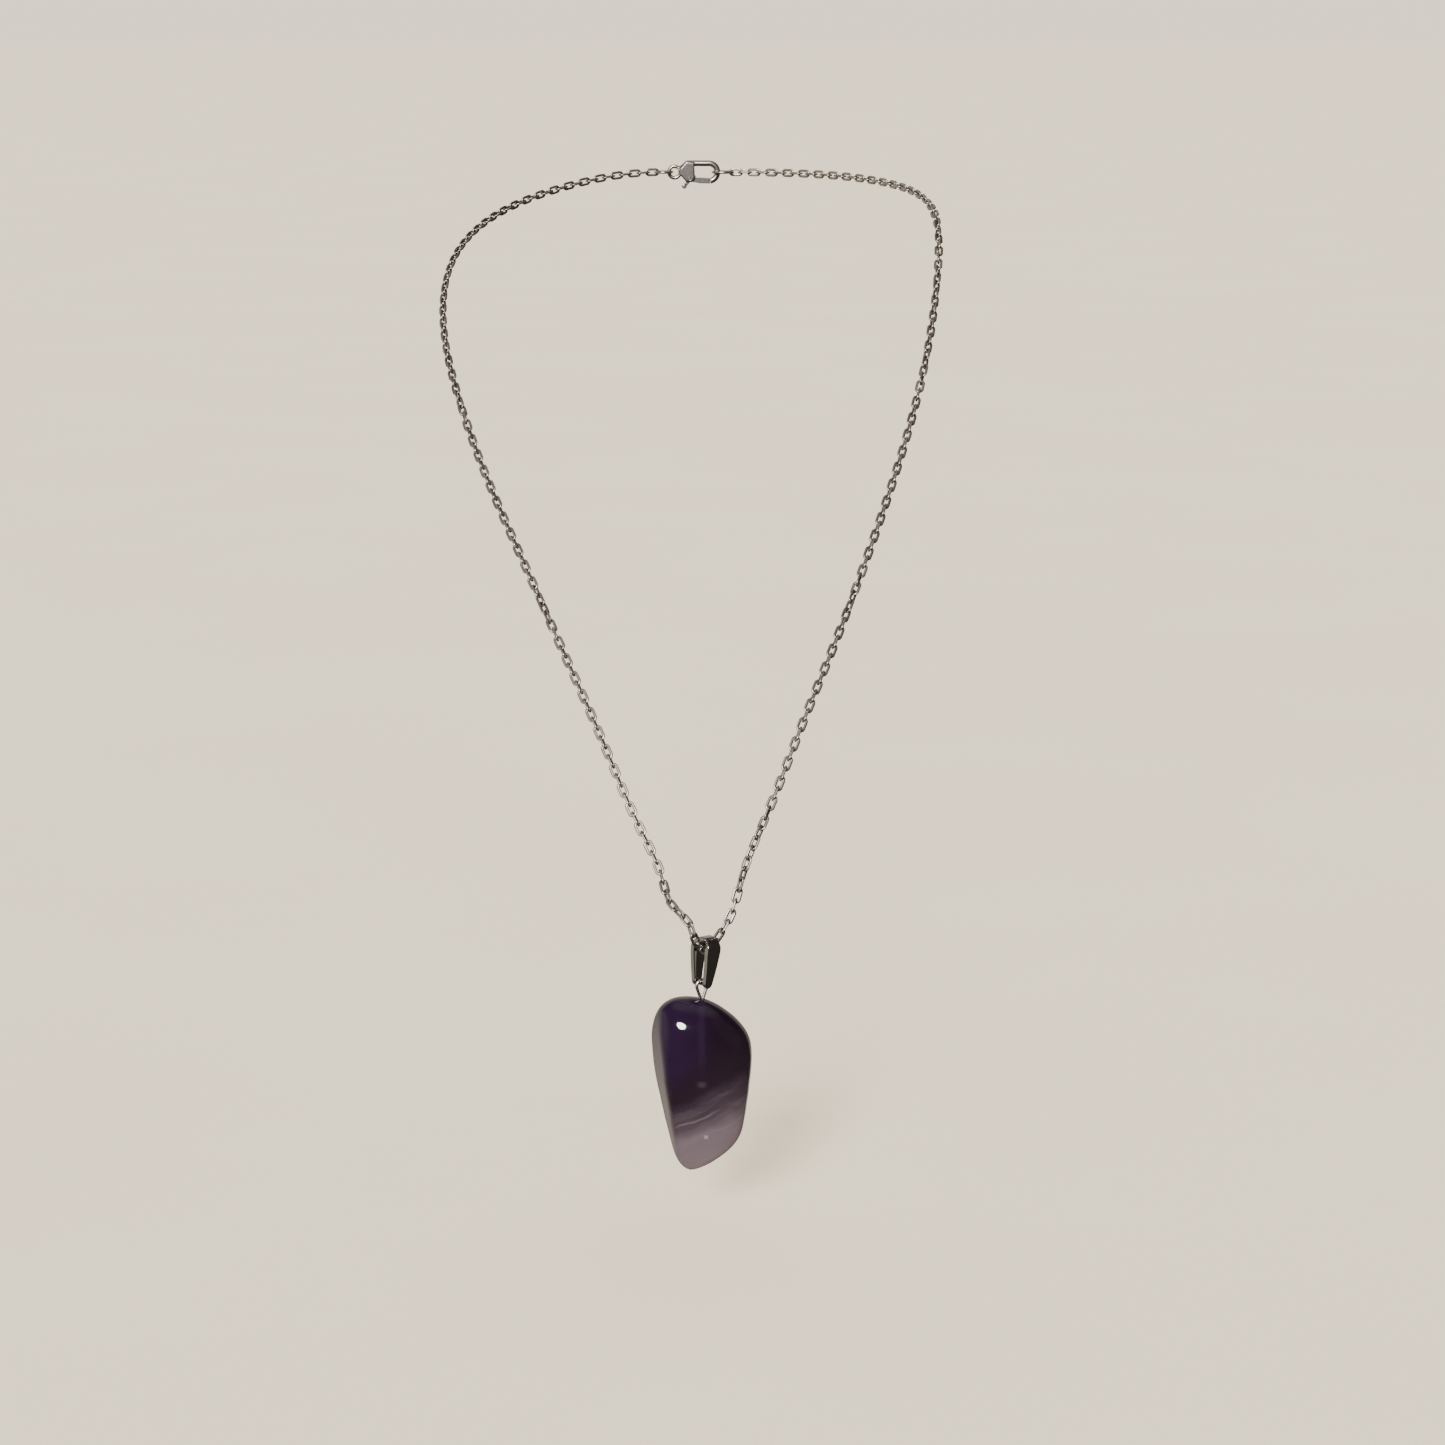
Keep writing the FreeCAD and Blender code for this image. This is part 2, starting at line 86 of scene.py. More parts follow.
BAIL_TUNNEL = (2.95, -102.0, -112.25)   # centre of the fold
BAIL_YAW = 48.0             # turn about the vertical
BAIL_TILT = 6.0             # lean to the side
BAIL_INNER = 1.15           # inside radius of the fold
BAIL_STRIP = 0.9            # strip thickness at the fold
BAIL_TIP = 6.75             # tips below the fold's centre
BAIL_TIP_OUTER = 1.55       # outside of a leg at its tip, from the middle
BAIL_TIP_INNER = 0.65
BAIL_TIP_ROUND = 0.75       # height over which a tip is rounded
BAIL_BOW = 0.10             # how far a leg bows outwards
BAIL_HALF_WIDTHS = ((-6.75, 0.74), (-0.4, 1.59), (0.4, 1.58), (2.05, 1.15))  # height, half width
BAIL_CORNER = 0.17          # corner radius of the strip's section
PRONG_DROP = 6.15           # prongs below the fold's centre
PRONG_RADIUS = 0.35
DIMPLE_DEPTH = 0.16
DIMPLE_RADIUS = 0.30

EYE_WIRE = 0.55
EYE_INNER = 0.72            # inside radius of the eye
EYE_DROP = 2.45             # foot of the eye below its centre
EYE_FOOT = 0.13             # the two wires' half distance at the foot
EYE_YAW = 30.0
SHANK_RADIUS = 0.40
SHANK_LENGTH = 10.0
SHANK_OVERLAP = 0.35        # the shank starts this far above the foot
SHANK_TWIST = 2.6           # radians for each millimetre
SHANK_GROOVE = 0.17         # depth of the groove between its strands, as a share of the radius

HOLE_RADIUS = 0.55
HOLE_BOTTOM = -134.0
HOLE_MOUTH = -121.6         # the hole's wall lies below this level
STONE_CUTS = 72             # squares along each side of the stone's six-sided grid
BAND_SLOPE = 0.53           # how steeply the stone's colour bands rise to the right
VEIN_LEVEL = -141.5         # where the one clear vein crosses x = 0
PAINTED_GLINT = (0.7, -9.9)     # a painted glint as a pale fleck, from the hole's axis and end
FACET_EDGE = -102.6         # how far forward the stone's left bevel starts
FACET_SLANT = np.array([-0.88, -0.475])  # outward direction of that bevel, seen from above

RING_WIRE = 0.55
RING_SEAM = 0.12            # depth of the seam between a ring's ends, as a share of the wire
RING_SEAM_WIDTH = 0.09

CAMERA_AT = (5.74, -632.4, 38.8)
CAMERA_PITCH = 12.0
SENSOR_WIDTH = 36.0
FOCAL_LENGTH = 82.5
KEY_TOWARDS = (0.22, 0.85, -0.44)
FLOOR_HALF = 30000.0        # half of the floor's side
FLOOR_GAP = 12.0            # from the stone's lowest point to the floor
# what shiny surfaces see: direction, where the lobe starts and is full, colour
WORLD_LOBES = [
    ((-0.4, 1, 0.05), 0.50, 0.85, (0.62, 0.58, 0.50)),
    ((-1, -0.15, 0.1), 0.72, 0.92, (0.46, 0.43, 0.37)),
    ((0.9, -0.5, 0.55), 0.80, 0.95, (0.13, 0.125, 0.12)),
    ((0.1, 0.0, 1), 0.80, 0.99, (0.42, 0.40, 0.36)),
]

BODIES = frame["record"]["behaviour"]["bodies"]
BODY_OF = {node: body for body, nodes in BODIES.items() for node in nodes}


# ---------------------------------------------------------------- mesh helpers
def make_object(name, points, faces, material, smooth=True):
    """A mesh object from points in millimetres."""
    mesh = bpy.data.meshes.new(name)
    mesh.from_pydata((np.asarray(points) * MM).tolist(), [], faces)
    mesh.validate()
    mesh.polygons.foreach_set("use_smooth", [smooth] * len(mesh.polygons))
    mesh.materials.append(material)
    made = bpy.data.objects.new(name, mesh)
    bpy.context.collection.objects.link(made)
    return made


def stand_for(made, node):
    """The piece rides on its CAD node's body and replaces the node."""
    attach(made, BODY_OF[node])
    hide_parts(node)


def add_attribute(made, name, values):
    """A number for each vertex, which a material can read."""
    made.data.attributes.new(name, "FLOAT", "POINT").data.foreach_set("value", values)


def node_points(node):
    """The CAD node's vertices, in millimetres."""
    mesh = frame["nodes"][node].data
    flat = np.empty(len(mesh.vertices) * 3)
    mesh.vertices.foreach_get("co", flat)
    return flat.reshape(-1, 3) / MM


def turned(points, turn, origin):
    """Points turned by a 3x3 matrix about the origin of their own frame, then moved to origin."""
    return np.asarray(points) @ np.asarray(turn).T + np.asarray(origin)


def tube_faces(rows, columns, closed, start=0):
    """Quads between rings of points: a tube, or a closed ring of tube."""
    faces = []
    for r in range(rows if closed else rows - 1):
        for c in range(columns):
            r2, c2 = (r + 1) % rows, (c + 1) % columns
            faces.append((start + r * columns + c, start + r * columns + c2,
                          start + r2 * columns + c2, start + r2 * columns + c))
    return faces


def wire_rings(path, radii, sides):
    """Rings of points round a flat path in the XY plane, which closes on itself."""
    path = np.asarray(path, float)
    ahead = np.roll(path, -1, 0) - np.roll(path, 1, 0)
    ahead /= np.linalg.norm(ahead, axis=1)[:, None]
    outward = np.stack([ahead[:, 1], -ahead[:, 0]], 1)
    around = np.linspace(0, 2 * math.pi, sides, endpoint=False)
    rings = np.zeros((len(path), sides, 3))
    reach = radii[:, None] * np.cos(around)
    rings[:, :, :2] = path[:, None, :] + outward[:, None, :] * reach[:, :, None]
    rings[:, :, 2] = radii[:, None] * np.sin(around)
    return rings


def on_circle(radius, angle):
    """The place on a circle at an angle in radians."""
    return radius * math.cos(angle), radius * math.sin(angle)


def oval_path(length, width, wire, steps):
    """Centreline of an oval link: two half circles joined by straight sides, at equal steps."""
    radius = (width - wire) / 2
    straight = length - wire - 2 * radius
    arc = math.pi * radius
    total = 2 * arc + 2 * straight
    path = []
    for step in range(steps):
        s = (step / steps) * total
        if s < straight:
            path.append((s - straight / 2, -radius))
        elif s < straight + arc:
            x, y = on_circle(radius, (s - straight) / radius - math.pi / 2)
            path.append((straight / 2 + x, y))
        elif s < 2 * straight + arc:
            path.append((straight / 2 - (s - straight - arc), radius))
        else:
            x, y = on_circle(radius, (s - 2 * straight - arc) / radius + math.pi / 2)
            path.append((x - straight / 2, y))
    return np.array(path)


# ---------------------------------------------------------------- material helpers
class Nodes:
    """Short calls for making nodes in a tree."""

    def __init__(self, tree):
        self.tree = tree

    def add(self, kind, **settings):
        made = self.tree.nodes.new(kind)
        for key, value in settings.items():
            setattr(made, key, value)
        return made

    def put(self, socket, value):
        """A link if value is a socket, else a plain value."""
        if isinstance(value, bpy.types.NodeSocket):
            self.tree.links.new(value, socket)
        elif isinstance(value, tuple) and len(value) == 3 and socket.type == "RGBA":
            socket.default_value = (*value, 1)
        else:
            socket.default_value = value

    def vector_math(self, operation, a, b=None, scale=None):
        made = self.add("ShaderNodeVectorMath", operation=operation)
        self.put(made.inputs[0], a)
        if b is not None:
            self.put(made.inputs[1], b)
        if scale is not None:
            made.inputs["Scale"].default_value = scale
        return made.outputs["Value" if operation == "DOT_PRODUCT" else "Vector"]

    def math(self, operation, a, b=0.0, clamp=False):
        made = self.add("ShaderNodeMath", operation=operation, use_clamp=clamp)
        self.put(made.inputs[0], a)
        self.put(made.inputs[1], b)
        return made.outputs[0]

    def times(self, a, b):
        return self.math("MULTIPLY", a, b)

    def noise(self, scale, detail=3.0, roughness=0.5, where=None, distortion=0.0):
        made = self.add("ShaderNodeTexNoise")
        self.put(made.inputs["Vector"], self.where if where is None else where)
        for key, value in (("Scale", scale), ("Detail", detail), ("Roughness", roughness),
                           ("Distortion", distortion)):
            made.inputs[key].default_value = value
        return made.outputs["Fac"]

    def ramp(self, value, *stops):
        """A colour ramp from (position, colour or grey) stops."""
        made = self.add("ShaderNodeValToRGB")
        self.put(made.inputs["Fac"], value)
        elements = made.color_ramp.elements
        while len(elements) < len(stops):
            elements.new(1.0)
        for element, (position, colour) in zip(elements, stops):
            element.position = position
            colour = colour if isinstance(colour, tuple) else (colour,) * 3
            element.color = (*colour, 1)
        return made.outputs["Color"]

    def mix(self, share, a, b, blend="MIX"):
        made = self.add("ShaderNodeMix", data_type="RGBA", blend_type=blend)
        self.put(made.inputs["Factor"], share)
        self.put(made.inputs["A"], a)
        self.put(made.inputs["B"], b)
        return made.outputs["Result"]

    def map_range(self, value, ends, soft=False):
        """A value mapped from one range to another; ends gives the sockets that aren't 0 or 1."""
        kind = "SMOOTHSTEP" if soft else "LINEAR"
        made = self.add("ShaderNodeMapRange", interpolation_type=kind)
        self.put(made.inputs["Value"], value)
        for name, end in ends.items():
            made.inputs[name].default_value = end
        return made.outputs["Result"]

    def spread(self, value, low, high):
        """A value from 0 to 1 spread between low and high."""
        return self.map_range(value, {"To Min": low, "To Max": high})

    def step(self, value, start, stop, soft=True):
        """0 at start and 1 at stop, where start may be the higher one."""
        return self.map_range(value, {"From Min": start, "From Max": stop}, soft)


class Paint(Nodes):
    """A node material. Texture positions are in millimetres."""

    def __init__(self, name):
        self.material = bpy.data.materials.new(name)
        self.material.use_nodes = True
        super().__init__(self.material.node_tree)
        self.shader = self.tree.nodes["Principled BSDF"]
        where = self.add("ShaderNodeTexCoord").outputs["Object"]
        self.where = self.vector_math("SCALE", where, scale=1 / MM)

    def bump(self, height, strength, distance, under=None):
        made = self.add("ShaderNodeBump")
        made.inputs["Strength"].default_value = strength
        made.inputs["Distance"].default_value = distance * MM
        self.put(made.inputs["Height"], height)
        if under is not None:
            self.put(made.inputs["Normal"], under)
        return made.outputs["Normal"]

    def set(self, **values):
        for key, value in values.items():
            self.put(self.shader.inputs[key.replace("_", " ")], value)

    def off(self, value, place):
        """Distance of a coordinate from a place."""
        return self.math("ABSOLUTE", self.math("SUBTRACT", value, place))

    def attribute(self, name):
        return self.add("ShaderNodeAttribute", attribute_name=name).outputs["Fac"]

    def scratches(self, scale, stretch, turn):
        """Fine lines in one direction, as a value from 0 to 1."""
        mapped = self.add("ShaderNodeMapping")
        self.put(mapped.inputs["Vector"], self.where)
        mapped.inputs["Rotation"].default_value = turn
        mapped.inputs["Scale"].default_value = (1, stretch, stretch)
        return self.noise(scale, detail=2.0, where=mapped.outputs["Vector"])


def polished_metal(name, colour, dull, roughness, scratch):
    """Polished metal: uneven colour, smudges, hairline scratches, random tarnish, and painted shade
    darkening the hollows.
    """
    paint = Paint(name)
    cloud = paint.noise(0.9, detail=4.0)
    tarnish = paint.ramp(paint.noise(3.1, detail=5.0, roughness=0.65), (0.48, 0.0), (0.72, 1.0))
    # painted shade: the colour is multiplied down where ambient occlusion finds hollows and tight
    # joins
    hollow = paint.add("ShaderNodeAmbientOcclusion", samples=6, only_local=False)
    hollow.inputs["Distance"].default_value = 0.5 * MM
    shade = paint.ramp(hollow.outputs["AO"], (0.25, 0.35), (0.8, 1.0))
    tone = paint.mix(paint.spread(cloud, 0.0, 0.7), colour, dull)
    tone = paint.mix(paint.spread(tarnish, 0.0, 0.35), tone, tuple(c * 0.62 for c in dull))
    tone = paint.mix(1.0, tone, shade, "MULTIPLY")
    lines = paint.scratches(5.0, 14.0, (0.4, 0.9, 0.3))
    cross = paint.scratches(4.0, 18.0, (1.2, 0.2, 1.4))
    marks = paint.times(paint.math("ADD", lines, cross), 0.5)
    rough = paint.math("ADD", paint.spread(tarnish, roughness, roughness + 0.12),
                       paint.spread(marks, -0.03, 0.05), clamp=True)
    normal = paint.bump(marks, scratch, 0.012, paint.bump(cloud, 0.15, 0.03))
    paint.set(Base_Color=tone, Metallic=1.0, Roughness=rough, Normal=normal)
    return paint


def chain_steel():
    """Steel of the chain: each link has its own tone, from the link_tone attribute."""
    paint = polished_metal("chain_steel", (0.66, 0.61, 0.57), (0.52, 0.47, 0.44), 0.34, 0.10)
    base = paint.shader.inputs["Base Color"].links[0].from_socket
    tone = paint.ramp(paint.attribute("link_tone"), (0.0, 0.70), (1.0, 1.0))
    paint.set(Base_Color=paint.mix(1.0, base, tone, "MULTIPLY"))
    return paint.material


def clear_adhesive():
    """Cured clear glue, faintly warm, with small bubbles."""
    paint = Paint("clear_adhesive")
    bubbles = paint.add("ShaderNodeTexVoronoi")
    paint.put(bubbles.inputs["Vector"], paint.where)
    bubbles.inputs["Scale"].default_value = 5.0
    dots = paint.ramp(bubbles.outputs["Distance"], (0.05, 1.0), (0.16, 0.0))
    paint.set(Base_Color=(0.86, 0.82, 0.84), Roughness=paint.spread(dots, 0.12, 0.4), IOR=1.5,
              Transmission_Weight=0.75, Normal=paint.bump(dots, 0.3, 0.03))
    return paint.material


def amethyst():
    """Tumbled amethyst: near-black violet above, smoky lilac with pale slanting veils below."""
    paint = Paint("amethyst")
    times, step, off = paint.times, paint.step, paint.off
    split = paint.add("ShaderNodeSeparateXYZ")
    paint.put(split.inputs[0], paint.where)
    x, y, z = split.outputs
    # colour bands lie across the growth direction, which leans from lower left to upper right
    drift = paint.noise(0.17, detail=2.0, distortion=0.25)
    level = paint.math("SUBTRACT", z, times(x, BAND_SLOPE))
    level = paint.math("ADD", level, paint.spread(drift, -1.6, 1.6))
    zones = paint.ramp(
        step(level, -151.0, -121.0, soft=False),
        (0.00, (0.150, 0.122, 0.152)), (0.19, (0.128, 0.103, 0.134)),
        (0.28, (0.062, 0.048, 0.066)), (0.34, (0.046, 0.034, 0.049)),
        (0.42, (0.034, 0.023, 0.037)), (0.48, (0.018, 0.010, 0.019)),
        (0.75, (0.011, 0.005, 0.012)), (1.00, (0.012, 0.005, 0.016)),
    )
    # violet grows towards the upper left, brown-black towards the right
    violet = times(step(x, 7.0, -2.0), step(level, -136.0, -130.0))
    tint = paint.mix(times(violet, 0.55), zones, (0.026, 0.010, 0.044))
    # thin pale veils along the bands
    streaks = paint.add("ShaderNodeCombineXYZ")
    for socket, value, stretch in zip(streaks.inputs, (x, y, level), (0.12, 0.20, 0.75)):
        paint.put(socket, times(value, stretch))
    wisps = paint.noise(0.7, detail=3.5, roughness=0.55, where=streaks.outputs[0], distortion=0.35)
    veils = paint.ramp(wisps, (0.46, 0.0), (0.60, 1.0), (0.72, 0.1))
    veils = times(veils, step(level, -136.3, -140.0))
    vein = step(off(level, VEIN_LEVEL), 0.42, 0.0)
    vein = times(vein, times(step(x, 6.0, 3.0), step(x, -3.0, -1.0)))
    veils = paint.math("MAXIMUM", times(veils, 0.24), times(vein, 0.7))
    tint = paint.mix(times(veils, 0.38), tint, (0.30, 0.24, 0.29))
    # the drilled hole shows through as a faint paler band, which ends in a small pale spot
    aside = paint.math("MINIMUM", off(x, BAIL_PRONG[0]), off(y, BAIL_PRONG[1]))
    band = times(step(aside, 0.95, 0.10), step(z, HOLE_BOTTOM - 0.4, HOLE_BOTTOM + 7))
    end = times(step(aside, 1.2, 0.0), step(off(z, HOLE_BOTTOM - 0.3), 0.9, 0.0))
    tint = paint.mix(times(band, 0.06), tint, (0.14, 0.07, 0.17))
    tint = paint.mix(times(end, 0.12), tint, (0.26, 0.19, 0.28))
    # a small painted glint: one pale fleck on the front face
    painted_glint = paint.math("MAXIMUM", off(x, BAIL_PRONG[0] + PAINTED_GLINT[0]),
                           off(z, HOLE_BOTTOM + PAINTED_GLINT[1]))
    painted_glint = times(step(painted_glint, 0.5, 0.1), step(y, -100.0, -103.0))
    tint = paint.mix(times(painted_glint, 0.5), tint, (0.42, 0.37, 0.41))
    # painted light: a paler colour along the facet and the thin bottom edge, for background light
    # seen in and through the thin edges, paler lower down
    clear = times(paint.attribute("painted_edge_light"), paint.spread(drift, 0.85, 1.1))
    edge_light_tone = paint.mix(step(z, -125.0, -146.0), (0.096, 0.082, 0.092), (0.172, 0.148, 0.164))
    tint = paint.mix(clear, tint, edge_light_tone)
    cloud = paint.mix(0.5, veils, clear)
    pits = paint.noise(2.2, detail=3.0)
    paint.set(
        Base_Color=tint, Roughness=paint.spread(pits, 0.035, 0.075), IOR=1.545,
        Transmission_Weight=paint.spread(cloud, 0.10, 0.22),
        Normal=paint.bump(paint.noise(0.35, detail=2.0), 0.12, 0.12),
    )
    return paint.material


# ---------------------------------------------------------------- chain
def link_rings():
    """One link of wire pressed flat, with a soldered seam in one side."""
    path = oval_path(LINK_LENGTH, LINK_WIDTH, LINK_WIRE, LINK_STEPS)
    radii = np.full(LINK_STEPS, LINK_WIRE / 2 - LINK_EASE)
    far_side = path[:, 1] >= 0
    seam = np.abs(path[:, 0] - 0.05) + np.where(far_side, 9.0, 0.0)
    solder = 0.014 * np.exp(-(seam / 0.16) ** 2)
    gap = 0.030 * np.exp(-(seam / 0.045) ** 2)
    rings = wire_rings(path, radii + solder - gap, LINK_SIDES)
    height = rings[:, :, 2] / (LINK_WIRE / 2)
    rings[:, :, 2] = np.sign(height) * np.abs(height) ** LINK_SQUARENESS * (LINK_THICKNESS / 2)
    return rings


def islands(points, triangles):
    """A number for each triangle, the same for all triangles that hang together."""
    _, same = np.unique(np.round(points, 4), axis=0, return_inverse=True)
    corners = same.reshape(-1)[triangles]
    label = np.arange(corners.max() + 1)
    while True:
        low = label[corners].min(1)
        lower = label.copy()
        for column in range(3):
            np.minimum.at(lower, corners[:, column], low)
        lower = lower[lower]
        if (lower == label).all():
            return label[corners[:, 0]]
        label = lower


def link_frames(node):
    """Centre and turn of each link in a chain node, from the moments of its own surface."""
    mesh = frame["nodes"][node].data
    mesh.calc_loop_triangles()
    triangles = np.empty(len(mesh.loop_triangles) * 3, int)
    mesh.loop_triangles.foreach_get("vertices", triangles)
    triangles = triangles.reshape(-1, 3)
    points = node_points(node)
    group = islands(points, triangles)
    for value in np.unique(group):
        own = points[triangles[group == value]]
        area = np.linalg.norm(np.cross(own[:, 1] - own[:, 0], own[:, 2] - own[:, 0]), axis=1)
        centre = (own.mean(1) * area[:, None]).sum(0) / area.sum()
        own = own - centre
        middle = own.mean(1)
        # a triangle's second moment goes as its corners' plus nine times its middle's
        corner_part = np.einsum("n,nij,nik->jk", area, own, own)
        middle_part = np.einsum("n,nj,nk->jk", area, middle, middle)
        _, axes = np.linalg.eigh(corner_part + 9 * middle_part)
        along, across = axes[:, 2], axes[:, 1]
        along = along * (1 if along[2] >= 0 else -1)
        across = across * (1 if across[0] + 0.5 * across[1] >= 0 else -1)
        yield centre, np.stack([along, across, np.cross(along, across)], 1)


def make_chain(material):
    """Every link of every chain node, one mesh for each node."""
    rings = link_rings()
    flat = rings.reshape(-1, 3)
    dice = np.random.default_rng(20)
    for node in BODY_OF:
        if not (node.endswith("_chain") or node == "apex_link"):
            continue
        points, faces, tones = [], [], []
        for number, (centre, turn) in enumerate(link_frames(node)):
            points.append(turned(flat, turn, centre))
            faces += tube_faces(LINK_STEPS, LINK_SIDES, True, number * len(flat))
            tones += [dice.random()] * len(flat)
        made = make_object(f"{node}_links", np.concatenate(points), faces, material)
        add_attribute(made, "link_tone", tones)
        stand_for(made, node)


# ---------------------------------------------------------------- bail
def rounded_box_ring(half_width, half_depth, corner, count):
    """Points round a rectangle with rounded corners."""
    points = []
    corner = min(corner, half_width * 0.98, half_depth * 0.98)
    per = count // 4
    for quarter, (sx, sy) in enumerate([(1, 1), (-1, 1), (-1, -1), (1, -1)]):
        for step in range(per):
            x, y = on_circle(corner, (quarter + step / (per - 1)) * math.pi / 2)
            points.append((sx * (half_width - corner) + x, sy * (half_depth - corner) + y))
    return np.array(points)


def bail_path():
    """Stations along the folded strip, from tip to tip: depth, height and thickness."""
    fold_radius = BAIL_INNER + BAIL_STRIP / 2
    tip_middle = (BAIL_TIP_OUTER + BAIL_TIP_INNER) / 2
    tip_thick = BAIL_TIP_OUTER - BAIL_TIP_INNER
    leg_steps, arc_steps = 44, 40
    leg, fold = [], []
    for step in range(leg_steps):
        t = step / leg_steps
        depth = tip_middle + (fold_radius - tip_middle) * t + BAIL_BOW * math.sin(math.pi * t)
        leg.append((-depth, -BAIL_TIP * (1 - t), tip_thick + (BAIL_STRIP - tip_thick) * t))
    for step in range(arc_steps + 1):
        depth, height = on_circle(fold_radius, math.pi - math.pi * step / arc_steps)
        fold.append((depth, height, BAIL_STRIP))
    return leg + fold + [(-depth, height, thick) for depth, height, thick in reversed(leg)]


def bail_half_width(z):
    """Half width of the strip at a height over the fold's centre."""
    heights, widths = zip(*BAIL_HALF_WIDTHS)
    width = float(np.interp(z, heights, widths))
    past = max(0.0, (-BAIL_TIP + BAIL_TIP_ROUND - z) / BAIL_TIP_ROUND)
    return width * math.sqrt(max(0.05, 1 - past ** 2))


def bail_turn():
    """The bail's turn as a matrix: yaw first, then tilt."""
    tilt = np.array(Matrix.Rotation(math.radians(BAIL_TILT), 3, "Y"))
    yaw = np.array(Matrix.Rotation(math.radians(BAIL_YAW), 3, "Z"))
    return tilt @ yaw


BAIL_PRONG = turned([(0, 0, -PRONG_DROP)], bail_turn(), BAIL_TUNNEL)[0]


def bail_strip():
    """The folded strip in its own frame: points and faces."""
    count = 32
    stations = np.array(bail_path())
    place, thick = stations[:, :2], stations[:, 2]
    ahead = np.gradient(place, axis=0)
    ahead /= np.linalg.norm(ahead, axis=1)[:, None]
    outward = np.stack([-ahead[:, 1], ahead[:, 0]], 1)
    widths = np.array([bail_half_width(z) for z in place[:, 1]])
    widths = np.convolve(np.pad(widths, 2, mode="edge"), np.ones(5) / 5, "valid")
    rings = []
    for k in range(len(stations)):
        # the last three stations at each end draw in to a soft edge
        from_end = min(k, len(stations) - 1 - k, 3)
        pull = 0.55 + 0.45 * math.sqrt(1 - (1 - from_end / 3) ** 2)
        ring = rounded_box_ring(widths[k] * pull, thick[k] / 2 * pull, BAIL_CORNER * pull, count)
        y = place[k, 0] + outward[k, 0] * ring[:, 1]
        z = place[k, 1] + outward[k, 1] * ring[:, 1]
        rings.append(np.stack([ring[:, 0], y, z], 1))
    points = np.concatenate(rings)
    faces = tube_faces(len(rings), count, False)
    faces.append(tuple(range(count))[::-1])
    faces.append(tuple(range(len(points) - count, len(points))))
    # a dimple is punched into each leg's outside where its prong stands on the inside
    across = np.hypot(points[:, 0], points[:, 2] + PRONG_DROP)
    outer = np.abs(points[:, 1]) > (BAIL_TIP_INNER + BAIL_TIP_OUTER) / 2 + 0.08
    dent = DIMPLE_DEPTH * np.exp(-(across / DIMPLE_RADIUS) ** 2) * outer
    points[:, 1] -= np.sign(points[:, 1]) * dent
    return points, faces


def prong(side, start):
    """A domed prong from one leg towards the middle, flared where it leaves the leg."""
    # radius and depth, from the leg to the tip
    profile = [(0.60, 0.84), (0.50, 0.72), (0.39, 0.62), (PRONG_RADIUS, 0.52), (PRONG_RADIUS, 0.20),
               (0.34, 0.12), (0.30, 0.06), (0.20, 0.035), (0.06, 0.03)]
    sides = 28
    points = []
    for radius, depth in profile:
        for step in range(sides):
            x, z = on_circle(radius, 2 * math.pi * step / sides)
            points.append((x, side * depth, z - PRONG_DROP))
    faces = tube_faces(len(profile), sides, False, start)
    faces.append(tuple(range(start + len(points) - sides, start + len(points))))
    if side < 0:
        faces = [face[::-1] for face in faces]
    return np.array(points), faces


def make_bail(material):
    """The folded strip with its two prongs."""
    points, faces = bail_strip()
    for side in (-1, 1):
        more, more_faces = prong(side, len(points))
        points = np.concatenate([points, more])
        faces += more_faces
    points = turned(points, bail_turn(), BAIL_TUNNEL)
    stand_for(make_object("bail_body", points, faces, material), "bail")


# ---------------------------------------------------------------- eye peg
def eye_loop():
    """The wire eye, upright: points and faces."""
    radius = EYE_INNER + EYE_WIRE / 2
    lean = math.asin(radius / EYE_DROP)
    foot_steps, arc_steps, sides = 22, 60, 20
    foot, touch = Vector((EYE_FOOT, -EYE_DROP)), Vector(on_circle(radius, -lean))
    other_foot, other_touch = Vector((-foot.x, foot.y)), Vector((-touch.x, touch.y))
    path = [foot.lerp(touch, step / foot_steps) for step in range(foot_steps)]
    path += [on_circle(radius, -lean + (math.pi + 2 * lean) * step / arc_steps)
             for step in range(arc_steps + 1)]
    path += [other_touch.lerp(other_foot, step / foot_steps) for step in range(1, foot_steps + 1)]
    rings = wire_rings([tuple(p) for p in path], np.full(len(path), EYE_WIRE / 2), sides)
    points = rings.reshape(-1, 3)
    upright = np.stack([points[:, 0], -points[:, 2], points[:, 1]], 1)
    return upright, tube_faces(len(rings), sides, True)


def eye_shank(start):
    """The shank, two strands twisted together: points and faces."""
    sides, rows = 32, 150
    points = []
    for row in range(rows + 1):
        t = row / rows
        z = -EYE_DROP + SHANK_OVERLAP - (SHANK_LENGTH + SHANK_OVERLAP) * t
        # narrow where the eye runs into it, and rounded off at its tip
        neck = min(1.0, 0.55 + t * 12)
        end = min(1.0, math.sqrt(max(0.0, (1 - t) * 26)))
        for side in range(sides):
            angle = 2 * math.pi * side / sides
            lobe = 1 - SHANK_GROOVE * (0.5 - 0.5 * math.cos(2 * (angle - SHANK_TWIST * z)))
            points.append((*on_circle(SHANK_RADIUS * lobe * end * neck, angle), z))
    faces = tube_faces(rows + 1, sides, False, start)
    return points, [face[::-1] for face in faces]


def make_eye_peg(material):
    """A wire eye drawn together into a twisted shank."""
    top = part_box("eye_peg")[1][2] / MM
    centre = (BAIL_PRONG[0], BAIL_PRONG[1], top - EYE_INNER - EYE_WIRE)
    loop, loop_faces = eye_loop()
    shank, shank_faces = eye_shank(len(loop))
    turn = np.array(Matrix.Rotation(math.radians(EYE_YAW), 3, "Z"))
    points = turned(np.concatenate([loop, shank]), turn, centre)
    stand_for(make_object("eye_peg_wire", points, loop_faces + shank_faces, material), "eye_peg")


